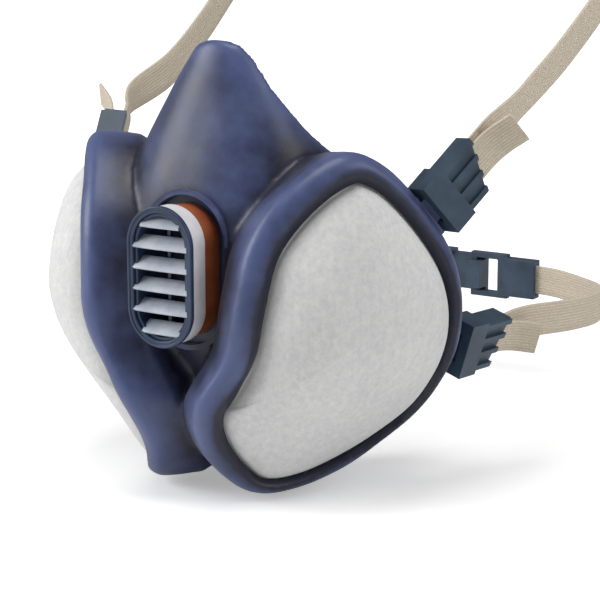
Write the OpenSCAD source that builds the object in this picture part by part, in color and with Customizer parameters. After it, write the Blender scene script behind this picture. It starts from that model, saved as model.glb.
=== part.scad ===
// Half-mask respirator with two bonded filter pods, a louvred exhalation valve and a four-point harness.
// Row frame: +X towards the wearer's left, -Y out of the front, +Z up; the origin is the middle of the face seal.

/* [Facepiece] */
// Width over the face seal
seal_width = 88; // [78:1:100]
// Height from the chin to the top of the nose cup
facepiece_height = 125.5; // [110:0.5:140]
// Depth from the front panel to the rear of the seal
facepiece_depth = 75; // [68:1:84]
// Rubber wall
shell_wall = 2.4; // [1.8:0.1:3]
// Thickness of the turned-in seal flange
seal_thickness = 1.8; // [1.2:0.1:2.6]
// Width of the turned-in seal flange
seal_lip = 12; // [8:0.5:15]

/* [Filter pods] */
// Width of a pod along its plate
pod_width = 78; // [70:1:88]
// Height of a pod
pod_height = 97.5; // [86:0.5:110]
// Turn of each pod away from straight ahead
pod_angle = 56.7; // [54:0.1:60]
// Distance of the rim crest from the origin, square to the pod
pod_reach = 70.5; // [68:0.5:75]
// How far the lower lobe leans in
pod_lean = 18; // [14:0.5:20]
// Depth of the pod from the rim crest to its floor
pod_depth = 16; // [14:0.5:17.5]
// Mean width of the rim lip
lip_width = 7; // [5.5:0.5:8]
// Drop from the rim crest to the edge of the filter cover
lip_drop = 2.5; // [1.5:0.25:3]
// Rise of the domed cover over its own edge
dome_rise = 13; // [9:0.5:15]
// Thickness of the white outer cover
cover_thickness = 0.8; // [0.6:0.1:1.2]
// Thickness of the particulate filter
media_thickness = 2.2; // [1.5:0.1:3]
// Thickness of the inner retainer plate
retainer_thickness = 1.8; // [1.4:0.1:2.4]

/* [Inhalation valves] */
// Radius of the port through the pod floor
port_radius = 13; // [11:0.5:14]
// Wall of the seat ring
seat_wall = 1.9; // [1.5:0.1:2.5]
// Radius of the valve disc
disc_radius = 12.2; // [10.2:0.1:12.6]
// Thickness of the valve disc
disc_thickness = 0.6; // [0.4:0.1:1]
// Lift of the valve disc
disc_lift = 2; // [1:0.25:3]

/* [Exhalation valve] */
// Width of the valve cover
valve_width = 22; // [20:0.5:23]
// Height of the valve cover
valve_height = 40; // [36:0.5:42]
// How far the cover stands in front of the panel
valve_stand = 11.5; // [9:0.5:13]
// Depth of the pale ring
ring_depth = 6; // [4:0.5:7]
// Wall of the pale ring and of the code band
ring_wall = 1.5; // [1.2:0.1:2]
// Depth of the cover's front frame
frame_depth = 1.2; // [1:0.1:2]
// Width of the cover's front frame
frame_width = 2; // [1.6:0.1:2.6]
// Number of louvres
louvre_count = 6; // [4:1:7]
// Louvre thickness
louvre_thickness = 1; // [0.8:0.1:1.4]
// Louvre chord
louvre_chord = 5; // [4:0.25:6]
// Louvre slope
louvre_slope = 35; // [20:1:45]
// Gap between the pocket wall and the valve
pocket_gap = 2; // [1.5:0.25:2.5]
// Depth of the pocket behind the panel
pocket_depth = 7; // [6.5:0.5:9]
// Thickness of the silicone flap
flap_thickness = 0.7; // [0.5:0.1:1]

/* [Harness] */
// Strap width
strap_width = 10; // [8:0.5:12]
// Strap thickness
strap_thickness = 1; // [0.8:0.1:1.3]
// Free end of each strap beyond its buckle
tail_length = 14; // [8:1:20]
// Direction of the upper buckles above level, along the pod plate
upper_pull = 41; // [35:1:47]
// Direction of the lower buckles above level, along the pod plate
lower_pull = -8; // [-12:1:0]
// Turn of the upper buckles towards the face, away from the pod plate
upper_swing = 8; // [4:1:12]
// Turn of the lower buckles towards the face, away from the pod plate
lower_swing = 25; // [20:1:28]
// Radius of the buckle's hinge bar
hinge_bar = 1.1; // [1:0.1:1.3]
// Radius of the bar that the strap turns round
strap_bar = 1.4; // [1.2:0.1:1.6]
// Length of the buckle's block
block_length = 17; // [15:0.5:19]
// Thickness of the head cradle
cradle_thickness = 2.2; // [1.6:0.1:3]
// Width of the cradle's bands
cradle_band = 11; // [8:0.5:13]

/* [Hidden] */

fit = 0.15;          // clearance of a piece seated in its pocket
running = 0.08;      // radial clearance of a turning bar in its bore
seam = 0.3;          // gap between a soft piece and its neighbour, or between butted strap ends
eps = 0.01;
round_fn = 72;       // facets of the previewed round walls

rubber_blue = [0.19, 0.23, 0.42];
cover_white = [0.87, 0.87, 0.86];
plastic_teal = [0.17, 0.25, 0.33];
plastic_navy = [0.10, 0.16, 0.27];
ring_grey = [0.85, 0.86, 0.87];
code_orange = [0.70, 0.30, 0.14];
strap_beige = [0.80, 0.75, 0.66];
silicone_white = [0.88, 0.88, 0.85];
carbon_black = [0.10, 0.10, 0.11];
media_white = [0.93, 0.93, 0.90];

// ---- shared functions ----

function ease(t) = let (c = max(0, min(1, t))) c * c * (3 - 2 * c);
function mix(a, b, t) = a + (b - a) * t;
function catmull(a, b, c, d, t) =
    0.5 * (2 * b + (c - a) * t + (2 * a - 5 * b + 4 * c - d) * t * t + (3 * b - a - 3 * c + d) * t * t * t);

// A point at x of an open list, from 0 at its first to len - 1 at its last.
function along(list, x) = let (
    last = len(list) - 1,
    i = max(0, min(last - 1, floor(x))),
    a = i > 0 ? list[i - 1] : 2 * list[0] - list[1],
    d = i + 2 <= last ? list[i + 2] : 2 * list[last] - list[last - 1])
    catmull(a, list[i], list[i + 1], d, x - i);

// A point at x of a closed list.
function around(list, x) = let (n = len(list), i = floor(x), k = (i % n + n) % n)
    catmull(list[(k + n - 1) % n], list[k], list[(k + 1) % n], list[(k + 2) % n], x - i);

function unit(v) = v / norm(v);
function middle(points) = [for (k = [0:len(points[0]) - 1]) let (s = [for (p = points) p[k]])
    s * [for (p = points) 1] / len(points)];

// A closed solid through a list of loops that have the same number of points; both ends are fans, and each
// square between the loops is split along its shorter diagonal, so parallel skins stay parallel. The fans start
// from the middle of the first few points of each end, or of all of them.
function fan_middle(loop, first) = middle([for (i = [0:(first > 0 ? first : len(loop)) - 1]) loop[i]]);
module skin(loops, first = 0) {
    n = len(loops[0]);
    m = len(loops);
    points = [for (l = loops) each l, fan_middle(loops[0], first), fan_middle(loops[m - 1], first)];
    sides = [for (i = [0:m - 2], j = [0:n - 1]) let (a = i * n + j, b = i * n + (j + 1) % n)
        each norm(points[a] - points[b + n]) < norm(points[b] - points[a + n])
            ? [[a, b, b + n], [a, b + n, a + n]] : [[a, b, a + n], [b, b + n, a + n]]];
    near = [for (j = [0:n - 1]) [(j + 1) % n, j, m * n]];
    far = [for (j = [0:n - 1]) [(m - 1) * n + j, (m - 1) * n + (j + 1) % n, m * n + 1]];
    polyhedron(points, concat(sides, near, far), convexity = 10);
}

module mirrored(side) {
    if (side > 0) children();
    else mirror([1, 0, 0]) children();
}

// A slot shape with round ends, w wide along X and h tall along Z, from y0 to y1.
module slot_block(w, h, y0, y1) {
    translate([0, y1, 0]) rotate([90, 0, 0]) linear_extrude(y1 - y0) slot_shape(w, h);
}
module slot_shape(w, h) {
    for (s = [-1, 1]) translate([0, s * (h - w) / 2]) circle(d = w, $fn = round_fn);
    square([w, h - w], center = true);
}
module slot_ring(w, h, wall, y0, y1) {
    difference() {
        slot_block(w, h, y0, y1);
        slot_block(w - 2 * wall, h - 2 * wall, y0 - eps, y1 + eps);
    }
}

// ---- facepiece ----

// Level slices of the cup, top to bottom: height, half width, rear edge and front edge as shares of the size,
// and how square the front is.
cup_rows = [
    [0.504, 0.06, -0.735, -0.765, 1.0],
    [0.490, 0.17, -0.730, -0.780, 1.0],
    [0.455, 0.26, -0.715, -0.800, 1.0],
    [0.385, 0.40, -0.690, -0.835, 0.95],
    [0.290, 0.59, -0.610, -0.895, 0.85],
    [0.180, 0.80, -0.410, -0.955, 0.78],
    [0.040, 0.98, -0.140, -0.990, 0.75],
    [-0.095, 1.00, -0.005, -0.980, 0.75],
    [-0.225, 0.91, -0.030, -0.930, 0.80],
    [-0.335, 0.76, -0.130, -0.885, 0.90],
    [-0.420, 0.56, -0.290, -0.810, 1.0],
    [-0.468, 0.29, -0.450, -0.700, 1.0],
    [-0.482, 0.07, -0.530, -0.610, 1.0]];
cup_slices = 26;
cup_arc = 28;

function cup_row(x) = let (r = along(cup_rows, x))
    [r[0] * facepiece_height, r[1] * seal_width / 2, r[2] * facepiece_depth, r[3] * facepiece_depth, r[4]];
function row_x(i) = i * (len(cup_rows) - 1) / cup_slices;
function arc_point(w, rear, front, angle, power) = [
    w * sign(sin(angle)) * pow(abs(sin(angle)), power),
    rear + (front - rear) * pow(max(0, cos(angle)), power)];

// The outer slice is a squared half ellipse that is closed across its rear.
function cup_loop(x) = let (r = cup_row(x))
    [for (k = [0:cup_arc]) let (p = arc_point(max(0.6, r[1]), r[2], min(r[3], r[2] - 0.8), -90 + 180 * k / cup_arc, r[4]))
        [p[0], p[1], r[0]]];

// The hollow slice also holds the opening for the face, which the seal flange narrows, and closes at the top and the chin.
narrow_slice = seal_lip + 1;
function hollow_loop(x) = let (
    r = cup_row(x),
    z = r[0] * (1 - 2 * shell_wall / facepiece_height),
    w = max(0.6, r[1] - shell_wall),
    rear = r[2] - seal_thickness,
    front = min(r[3] + shell_wall, rear - 0.4),
    open = max(0.3, min(w - 0.2, r[1] - seal_lip)),
    back = r[1] > narrow_slice ? facepiece_depth / 4 : rear + 0.3)
    concat([for (k = [0:cup_arc]) let (p = arc_point(w, rear, front, -90 + 180 * k / cup_arc, r[4])) [p[0], p[1], z]],
        [[open, rear, z], [open, back, z], [-open, back, z], [-open, rear, z]]);

// ---- pods ----

// Rim outline on the pod's plate: along the plate to the rear, and up, at the standard pod size.
pod_outline = [[-25, 34.5], [-13, 31], [0, 18.5], [9.8, 3], [13.4, -14], [12.6, -31.5], [5, -46.5], [-10.5, -58],
    [-30, -65], [-46, -64.5], [-59, -52], [-64.5, -37], [-59.5, -21.5], [-57.3, -5], [-52, 13], [-39, 27.5]];
standard_pod = [78, 97.5];
pod_points = 40;
pod_middle = [-25, -14];
bend_height = -8;    // the plate leans in below this height
bend_span = 50;

pod_cos = cos(pod_angle);
pod_sin = sin(pod_angle);
pod_normal = [pod_sin, -pod_cos, 0];
function pod_to_world(p, z, n) = [p * pod_cos + n * pod_sin, p * pod_sin - n * pod_cos, z];
function plate(z) = pod_reach - pod_lean * ease((bend_height - z) / bend_span);
function outline_at(t) = let (q = around(pod_outline, t * len(pod_outline)))
    [q[0] * pod_width / standard_pod[0], q[1] * pod_height / standard_pod[1]];
function outline_out(t) = let (d = outline_at(t + 0.004) - outline_at(t - 0.004)) unit([-d[1], d[0]]);
function lip_at(t) = let (o = outline_out(t)) lip_width - 0.25 * lip_width * o[0] + 0.3 * lip_width * o[1];

// One loop of a pod: inset from the rim outline by a length plus a share of the lip, at a depth under the plate.
function pod_loop(inset, lip_share, depth, count = pod_points) = [for (i = [0:count - 1]) let (
    t = i / count,
    q = outline_at(t) - outline_out(t) * (inset + lip_share * lip_at(t)))
    pod_to_world(q[0], q[1], plate(q[1]) - depth)];

// One loop of a domed layer: rho runs from 1 at the layer's edge to 0 at its middle.
function dome(rho) = dome_rise * pow(max(0, 1 - rho * rho), 0.65);
function dome_loop(inset, lip_share, depth, rho, rise = 1, count = pod_points) = [for (i = [0:count - 1]) let (
    t = i / count,
    edge = outline_at(t) - outline_out(t) * (inset + lip_share * lip_at(t)),
    q = pod_middle + (edge - pod_middle) * rho)
    pod_to_world(q[0], q[1], plate(q[1]) - depth + rise * dome(rho))];

stack_inset = 3.4;
layer_gap = 0.2;
edge_depth = lip_drop + 0.6;                       // the layers' edges lie under the lip
media_depth = edge_depth + cover_thickness + layer_gap;
carbon_depth = media_depth + media_thickness + layer_gap;
retainer_depth = pod_depth - retainer_thickness - layer_gap;
port_place = [-24, 6];
port_floor = plate(port_place[1]) - pod_depth;
port_boss = 4.4;

module at_port() {
    o = pod_to_world(port_place[0], port_place[1], port_floor);
    multmatrix([[pod_cos, 0, pod_sin, o[0]], [pod_sin, 0, -pod_cos, o[1]], [0, 1, 0, o[2]], [0, 0, 0, 1]])
        mirror([0, 0, 1]) children();
}

module pod_housing() {
    skin([pod_loop(5, 0, pod_depth + 6), pod_loop(1.2, 0, pod_depth), pod_loop(0, 0, 3), pod_loop(0.7, 0, 1),
        pod_loop(2.4, 0, 0), pod_loop(3.6, 0, 0.2), pod_loop(0, 1, lip_drop)]);
}

// The rings of a flat floor, from its middle out.
function flat_rings(depth, inset = stack_inset) =
    [for (rho = [0.15, 0.4, 0.7, 1]) dome_loop(inset, 0, depth, rho, 0)];

// The recess for the layers, and the window that shows the cover.
module pod_recess() {
    skin(concat(flat_rings(pod_depth, stack_inset - fit), [pod_loop(stack_inset - fit, 0, edge_depth - fit),
        pod_loop(0, 0.96, edge_depth - fit), pod_loop(-0.4, 0.96, -2)]));
}

module facepiece() color(rubber_blue) {
    difference() {
        union() {
            difference() {
                union() {
                    skin([for (i = [0:cup_slices]) cup_loop(row_x(i))]);
                    for (s = [-1, 1]) mirrored(s) pod_housing();
                }
                skin([for (i = [0:cup_slices]) hollow_loop(row_x(i))], cup_arc + 1);
            }
            for (s = [-1, 1]) mirrored(s) at_port()
                translate([0, 0, -0.5]) cylinder(r = port_radius + 3, h = port_boss + 0.5, $fn = 40);
            slot_block(pocket_width + 3, pocket_height + 3, panel_front + 1, pocket_floor + 2);
        }
        for (s = [-1, 1]) mirrored(s) {
            pod_recess();
            for (c = [upper, lower]) at_hinge(c, 0) {
                anchor_pad(fit);
                anchor_arm(fit);
            }
            at_port() translate([0, 0, -4]) cylinder(r = port_radius, h = port_boss + 12, $fn = 40);
        }
        slot_block(pocket_width, pocket_height, panel_front - 6, pocket_floor);
        slot_block(valve_width - 4, valve_height - 4, panel_front - 6, pocket_floor + 8);
    }
}

// ---- exhalation valve ----

panel_front = -0.985 * facepiece_depth;
pocket_floor = panel_front + pocket_depth;
pocket_width = valve_width + 2 * pocket_gap;
pocket_height = valve_height + 2 * pocket_gap - 1;
cover_front = panel_front - valve_stand;
ring_front = cover_front + frame_depth;
band_front = ring_front + ring_depth;
seat_depth = 3.2;
seat_front = pocket_floor - seat_depth;
band_rear = seat_front - 0.1;
opening_width = valve_width - 2 * frame_width;
opening_height = valve_height - 2 * frame_width;
flap_width = valve_width - 6.4;
flap_height = valve_height - 7;
flap_front = seat_front - flap_thickness - 0.05;
hinge_height = flap_height / 2 - 3.5;
bead_radius = 0.8;
bead_length = flap_width - 5;
bead_y = seat_front - 0.05 - bead_radius;

seat_bar = [1, 1.6];     // width and depth of the bars that the flap rests on
seat_bar_pitch = 8;
seat_land = 1.5;         // how far the flap laps over its seat

module valve_seat() color(plastic_navy) {
    difference() {
        slot_block(pocket_width - 2 * fit, pocket_height - 2 * fit, seat_front, pocket_floor - 0.05);
        slot_block(flap_width - 2 * seat_land, flap_height - 2 * seat_land, seat_front - eps, pocket_floor + eps);
    }
    for (i = [-1:1]) translate([-flap_width / 2, seat_front + seat_bar[0] / 2 + 0.1, i * seat_bar_pitch - seat_bar[0] / 2])
        cube([flap_width, seat_bar[1], seat_bar[0]]);
    translate([-seat_bar[0] / 2, seat_front + seat_bar[0] / 2 + 0.1, -flap_height / 2 + 0.5])
        cube([seat_bar[0], seat_bar[1], flap_height - 1]);
}

module along_x(r, length) rotate([0, 90, 0]) cylinder(r = r, h = length, center = true, $fn = round_fn);

// The flap hangs from a rolled bead that turns in the clamp.
module exhalation_flap() color(silicone_white) {
    intersection() {
        slot_block(flap_width, flap_height, flap_front, flap_front + flap_thickness);
        translate([-flap_width, flap_front - 1, hinge_height - flap_height]) cube([2 * flap_width, 3, flap_height]);
    }
    translate([0, bead_y, hinge_height]) along_x(bead_radius, bead_length);
}

clamp_wall = 1;
clamp_rise = 1.6;        // height of the clamp over the bead
module flap_clamp() color(plastic_navy) difference() {
    translate([-bead_length / 2, bead_y - bead_radius - clamp_wall, hinge_height - 0.2])
        cube([bead_length, seat_front - 0.05 - bead_y + bead_radius + clamp_wall, bead_radius + clamp_rise]);
    translate([0, bead_y, hinge_height]) along_x(bead_radius + running, bead_length + 2);
}

module code_band() color(code_orange)
    slot_ring(valve_width - 2, valve_height - 2, ring_wall, band_front + 0.05, band_rear);

module valve_ring() color(ring_grey)
    slot_ring(valve_width - 0.8, valve_height - 0.8, ring_wall, ring_front + 0.05, band_front);

module valve_grille() color(plastic_navy) {
    slot_ring(valve_width, valve_height, frame_width, cover_front, ring_front);
    slot_ring(valve_width - 0.8 - 2 * ring_wall - 0.2, valve_height - 0.8 - 2 * ring_wall - 0.2, 1, ring_front - eps,
        ring_front + ring_depth);
    pitch = opening_height / louvre_count;
    intersection() {
        slot_block(opening_width - 0.2, opening_height - 0.2, cover_front + 0.4, band_front);
        for (i = [0:louvre_count - 1])
            translate([-valve_width / 2, cover_front + 0.5, -opening_height / 2 + pitch * (i + 0.25)])
                rotate([louvre_slope, 0, 0]) cube([valve_width, louvre_chord, louvre_thickness]);
    }
}

// ---- filter layers, one module per layer for the left side ----

// Each layer is flat under the lip and domed inside it.
layer_rings = 5;
function dome_rings(depth) = concat([dome_loop(stack_inset, 0, depth, 1)],
    [for (k = [0:layer_rings - 1]) dome_loop(0, 1.04, depth, 1 - k / layer_rings)]);
function reversed(list) = [for (i = [len(list) - 1:-1:0]) list[i]];
module layer(depth, thickness) skin(concat(reversed(dome_rings(depth + thickness)), dome_rings(depth)));

module filter_cover() color(cover_white) layer(edge_depth, cover_thickness);
module particulate_filter() color(media_white) layer(media_depth, media_thickness);
module carbon_bed() color(carbon_black)
    skin(concat(flat_rings(retainer_depth - layer_gap), dome_rings(carbon_depth)));
vent = 3.2;              // square holes through the retainer, over the port
vent_pitch = 4.6;
module filter_retainer() color(ring_grey) difference() {
    skin(concat(flat_rings(pod_depth - layer_gap), reversed(flat_rings(retainer_depth))));
    at_port() for (x = [-2:2], y = [-2:2]) if (norm([x, y]) < 2.5)
        translate([x * vent_pitch - vent / 2, y * vent_pitch - vent / 2, -pod_depth / 2]) cube([vent, vent, pod_depth]);
}

// ---- inhalation valve: an axis out of the pod floor into the cavity ----

pin_radius = 1;
hub = [2.2, 2.4];        // radius and height of the hub that the spokes carry
spoke_bar = [1.4, 1.8];  // width and height of a spoke
cap = [1.9, 0.8];        // radius and height of the cap that stops the disc
module inhalation_seat() color(ring_grey) at_port() {
    difference() {
        translate([0, 0, layer_gap]) cylinder(r = port_radius - fit, h = port_boss - layer_gap, $fn = round_fn);
        translate([0, 0, -eps]) cylinder(r = port_radius - fit - seat_wall, h = port_boss + 1, $fn = round_fn);
    }
    spoke = port_radius - fit - seat_wall + 0.5;
    translate([0, 0, port_boss - hub[1]]) {
        for (a = [0, 90]) rotate(a) translate([-spoke, -spoke_bar[0] / 2, 0]) cube([2 * spoke, spoke_bar[0], spoke_bar[1]]);
        cylinder(r = hub[0], h = hub[1] - 0.2, $fn = round_fn);
        cylinder(r = pin_radius, h = hub[1] + disc_thickness + disc_lift + 1, $fn = round_fn);
    }
    translate([0, 0, port_boss + disc_thickness + disc_lift + 0.4]) cylinder(r = cap[0], h = cap[1], $fn = round_fn);
}
module inhalation_valve() color(silicone_white) at_port() translate([0, 0, port_boss + 0.1]) difference() {
    cylinder(r = disc_radius, h = disc_thickness, $fn = round_fn);
    translate([0, 0, -1]) cylinder(r = pin_radius + running, h = 3, $fn = round_fn);
}

// ---- buckles: each has its own frame, u along the pull, v along the hinge bar and w out of the pod ----

// Seat on the rim's outer wall (along the plate, up, under the crest), direction, swing and tilt.
upper = [[1.5, 16], 5, upper_pull, upper_swing, 0];
lower = [[13.5, -24.8], 10.5, lower_pull, lower_swing, 15];
hinge_stand = 3.4;      // hinge bar beyond the rim wall
knuckle_radius = hinge_bar + 1.1;
knuckle_length = 8;
block = [[-2.4, 5.6], [-2.4, 6.3]];   // reach of the block along u and w
pocket_half = knuckle_length / 2 + 0.3;
slot_half = strap_width / 2 + 0.4;
cheek = 2;
tab_half = slot_half + cheek;
tab_end = 19;
tab_slant = 22;         // the tab's end is cut askew
tab_top = 4.9;
tab_plate = 1.2;        // thickness of the tab's top
cheek_foot = -1.9;      // lowest reach of the cheeks along w
rib_count = 4;
rib = [1.6, 1.2];       // width and height of a rib
turn_u = 10;            // centre of the bar that the strap turns round
turn_w = 1.2;
butt = 24;              // where the strap's moving end meets its run, from the hinge bar
inner_turn = strap_bar + 0.1;
outer_turn = inner_turn + strap_thickness;
tail_radius = 14;
tail_turn = 38;

function spin(v, axis, a) = v * cos(a) + cross(axis, v) * sin(a) + axis * (axis * v) * (1 - cos(a));
function seat_of(c) = [c[0][0] * pod_width / standard_pod[0], c[0][1] * pod_height / standard_pod[1]];
function level_pull(c) = [cos(c[2]) * pod_cos, cos(c[2]) * pod_sin, sin(c[2])];
function hinge_of(c) = let (q = seat_of(c))
    pod_to_world(q[0], q[1], plate(q[1]) - c[1]) + hinge_stand * level_pull(c);
plate_along = [pod_cos, pod_sin, 0];
function pull_of(c, swing) = spin(level_pull(c) * cos(swing) - pod_normal * sin(swing), plate_along, c[4]);
function out_of(c, swing) = spin(pod_normal * cos(swing) + level_pull(c) * sin(swing), plate_along, c[4]);
function bar_of(c) = cross(out_of(c, 0), pull_of(c, 0));

module placed(o, u, v, w)
    multmatrix([[u[0], v[0], w[0], o[0]], [u[1], v[1], w[1], o[1]], [u[2], v[2], w[2], o[2]], [0, 0, 0, 1]])
        children();
module at_hinge(c, swing) placed(hinge_of(c), pull_of(c, swing), bar_of(c), out_of(c, swing)) children();
module bar_along_v(r, length) rotate([90, 0, 0]) cylinder(r = r, h = length, center = true, $fn = round_fn);

pad = [2.4, 14, 6];      // depth in the rim wall, length and height of the anchor's pad
arm_height = 2.6;
module anchor_pad(clear) translate([-hinge_stand - pad[0] - clear, -pad[1] / 2 - clear, -pad[2] / 2 - clear])
    cube([pad[0] - 0.05 + clear, pad[1] + 2 * clear, pad[2] + 2 * clear]);
module anchor_arm(clear) {
    translate([-hinge_stand - clear, -knuckle_length / 2 - clear, -arm_height / 2 - clear])
        cube([hinge_stand + clear, knuckle_length + 2 * clear, arm_height + 2 * clear]);
    bar_along_v(knuckle_radius + clear, knuckle_length + 2 * clear);
}
module anchor(c) color(plastic_navy) at_hinge(c, 0) difference() {
    union() {
        anchor_pad(0);
        anchor_arm(0);
    }
    bar_along_v(hinge_bar + running, knuckle_length + 2);
}

module buckle(c) color(plastic_teal) at_hinge(c, c[3]) {
    difference() {
        translate([block[0][0], -block_length / 2, block[1][0]])
            cube([block[0][1] - block[0][0], block_length, block[1][1] - block[1][0]]);
        translate([block[0][0] - 1, -pocket_half, block[1][0] - 1])
            cube([knuckle_radius + 0.3 - block[0][0] + 1, 2 * pocket_half, knuckle_radius + 0.9 - block[1][0] + 1]);
    }
    bar_along_v(hinge_bar, 2 * pocket_half + 1);
    start = block[0][1] - 0.5;
    difference() {
        union() {
            for (s = [-1, 1]) translate([start, s * (slot_half + cheek / 2) - cheek / 2, cheek_foot])
                cube([tab_end - start, cheek, tab_top - cheek_foot]);
            translate([start, -tab_half, tab_top - tab_plate]) cube([tab_end - start, 2 * tab_half, tab_plate]);
            for (i = [0:rib_count - 1])
                translate([start, -tab_half + i * (2 * tab_half - rib[0]) / (rib_count - 1), tab_top - 0.1])
                    cube([tab_end - start - 0.6, rib[0], rib[1] + 0.1]);
        }
        translate([tab_end, tab_half, -5]) rotate(-tab_slant) translate([0, -40, 0]) cube([20, 60, 20]);
    }
    translate([turn_u, 0, turn_w]) bar_along_v(strap_bar, 2 * slot_half + 0.6);
}

// A strap's end in the u, w plane, as the middle line of the run under the bar, the turn and the tail.
turn_steps = 12;
tail_steps = 5;
function on_arc(centre, r, a) = centre + r * [cos(a), sin(a)];
function strap_line(bar_u, bar_w, end_u, straight, turn) = let (
    r = inner_turn + strap_thickness / 2,
    bend = [straight, bar_w + r + tail_radius],
    free = max(1, tail_length - tail_radius * turn * PI / 180))
    concat([[end_u, bar_w - r]],
        [for (i = [0:turn_steps]) on_arc([bar_u, bar_w], r, -90 - 180 * i / turn_steps)],
        [for (i = [0:tail_steps]) on_arc(bend, tail_radius, -90 + turn * i / tail_steps)],
        [on_arc(bend, tail_radius, -90 + turn) + free * [cos(turn), sin(turn)]]);
function side_of(line, i, d) = let (
    last = len(line) - 1,
    t = unit(line[min(last, i + 1)] - line[max(0, i - 1)]))
    line[i] + d * [-t[1], t[0]];
module strap_turn(bar_u, bar_w, end_u, straight, turn) {
    line = strap_line(bar_u, bar_w, end_u, straight, turn);
    outline = concat([for (i = [0:len(line) - 1]) side_of(line, i, strap_thickness / 2)],
        [for (i = [len(line) - 1:-1:0]) side_of(line, i, -strap_thickness / 2)]);
    translate([0, strap_width / 2, 0]) rotate([90, 0, 0]) linear_extrude(strap_width) polygon(outline);
}
module strap_end(c) color(strap_beige) at_hinge(c, c[3]) strap_turn(turn_u, turn_w, butt, tab_end, tail_turn);

// ---- head and neck: the straps follow an egg-shaped head and a round neck ----

head_middle = [0, 60, 75];
head_radii = [74, 95, 88];
neck_middle = [0, 46, -30];
cradle_x = 50;          // half width of the cradle's bands
cradle_place = 45;      // where the straps meet the cradle, degrees back from the crown
band_spread = 24;       // how far each band leaves that line, in degrees
head_gap = 1.5;
run_rings = 26;
band_rings = 20;

function head_point(x, phi) = let (k = sqrt(1 - pow(x / head_radii[0], 2)))
    [x, head_middle[1] + head_radii[1] * k * sin(phi), head_middle[2] + head_radii[2] * k * cos(phi)];
function head_normal(p) = unit([for (k = [0:2]) (p[k] - head_middle[k]) / pow(head_radii[k], 2)]);

// One ring of a flat band: centre, direction along it, outward direction, width and thickness.
function band_ring(p, forward, outward, width, thick) = let (
    b = unit(cross(outward, forward)),
    m = unit(cross(forward, b)))
    [for (c = [[-1, -1], [-1, 1], [1, 1], [1, -1]]) p + b * c[0] * width / 2 + m * c[1] * thick / 2];

// A strap's run along hand-set places, flat to the hub it goes round; it starts flat to its buckle.
function run_ring(route, start_out, hub, x) = let (
    p = along(route, x),
    forward = unit(along(route, x + 0.02) - along(route, x - 0.02)),
    level = [0, 0, forward[2] * forward[2] < 0.04 ? p[2] - hub[2] : 0])
    band_ring(p, forward, unit(mix(start_out, unit(p - hub - level), ease(x / 2))), strap_width, strap_thickness);
module run(route, start_out, hub) {
    last = len(route) - 1;
    skin([for (i = [0:run_rings]) run_ring(route, start_out, hub, i * last / run_rings)]);
}
function run_start(c, beyond) = hinge_of(c) + pull_of(c, c[3]) * (butt + seam + beyond)
    + out_of(c, c[3]) * (turn_w - inner_turn - strap_thickness / 2);

crown_places = [[65, 10, 46], [67, 32, 58], [69, 58, 76], [66.5, 85, 98]];
cradle_end = head_point(cradle_x + 2, cradle_place) + head_gap * head_normal(head_point(cradle_x + 2, cradle_place));
crown_route = concat([run_start(upper, 0), run_start(upper, 7)], crown_places, [cradle_end]);
crown_last = unit(cradle_end - crown_places[3]);
module crown_strap() color(strap_beige) run(crown_route, out_of(upper, upper_swing), head_middle);

neck_places = [[62, 22, -25], [66, 42, -26.5], [64.5, 64, -28.5], [56, 84, -30.5], [43, 98, -31.8]];
neck_start = [run_start(lower, 0), run_start(lower, 6)];
module neck_strap_left() color(strap_beige)
    run(concat(neck_start, neck_places, [[31, 105.8, clasp_z], [22, clasp_y, clasp_z], [17, clasp_y, clasp_z], [12, clasp_y, clasp_z]]),
        out_of(lower, lower_swing), neck_middle);
module neck_strap_right() color(strap_beige) mirror([1, 0, 0])
    run(concat(neck_start, neck_places, [[clasp_butt + seam + 5, clasp_y + clasp_run - 0.3, clasp_z], [clasp_butt + seam, clasp_y + clasp_run, clasp_z]]),
        out_of(lower, lower_swing), neck_middle);

// A closed socket that holds a strap's end: u along the strap, v across it, w out of the head.
socket_wall = 1.5;
module socket(length) {
    half_v = strap_width / 2 + seam + socket_wall;
    half_w = strap_thickness / 2 + seam + socket_wall;
    difference() {
        translate([-length, -half_v, -half_w]) cube([length + 2.5, 2 * half_v, 2 * half_w]);
        translate([-length - 1, -half_v + socket_wall, -half_w + socket_wall])
            cube([length + 1, 2 * (half_v - socket_wall), 2 * (half_w - socket_wall)]);
    }
}

function band_place(t, spread) = let (p = head_point(cradle_x * t, cradle_place + spread * (cos(90 * t) + 0.15)))
    p + head_normal(p) * (head_gap + cradle_thickness / 2);
module band(spread) skin([for (i = [0:band_rings]) let (t = -1 + 2 * i / band_rings, p = band_place(t, spread))
    band_ring(p, unit(band_place(t + 0.01, spread) - band_place(t - 0.01, spread)), head_normal(p), cradle_band,
        cradle_thickness)]);
module head_cradle() color(plastic_teal) {
    band(band_spread);
    band(-band_spread);
    across = unit(cross(cradle_end - head_middle, crown_last));
    for (s = [-1, 1]) mirrored(s) placed(cradle_end, crown_last, across, cross(crown_last, across)) socket(9);
}

// ---- neck clasp: u towards the right strap, v up and w away from the neck ----

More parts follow.
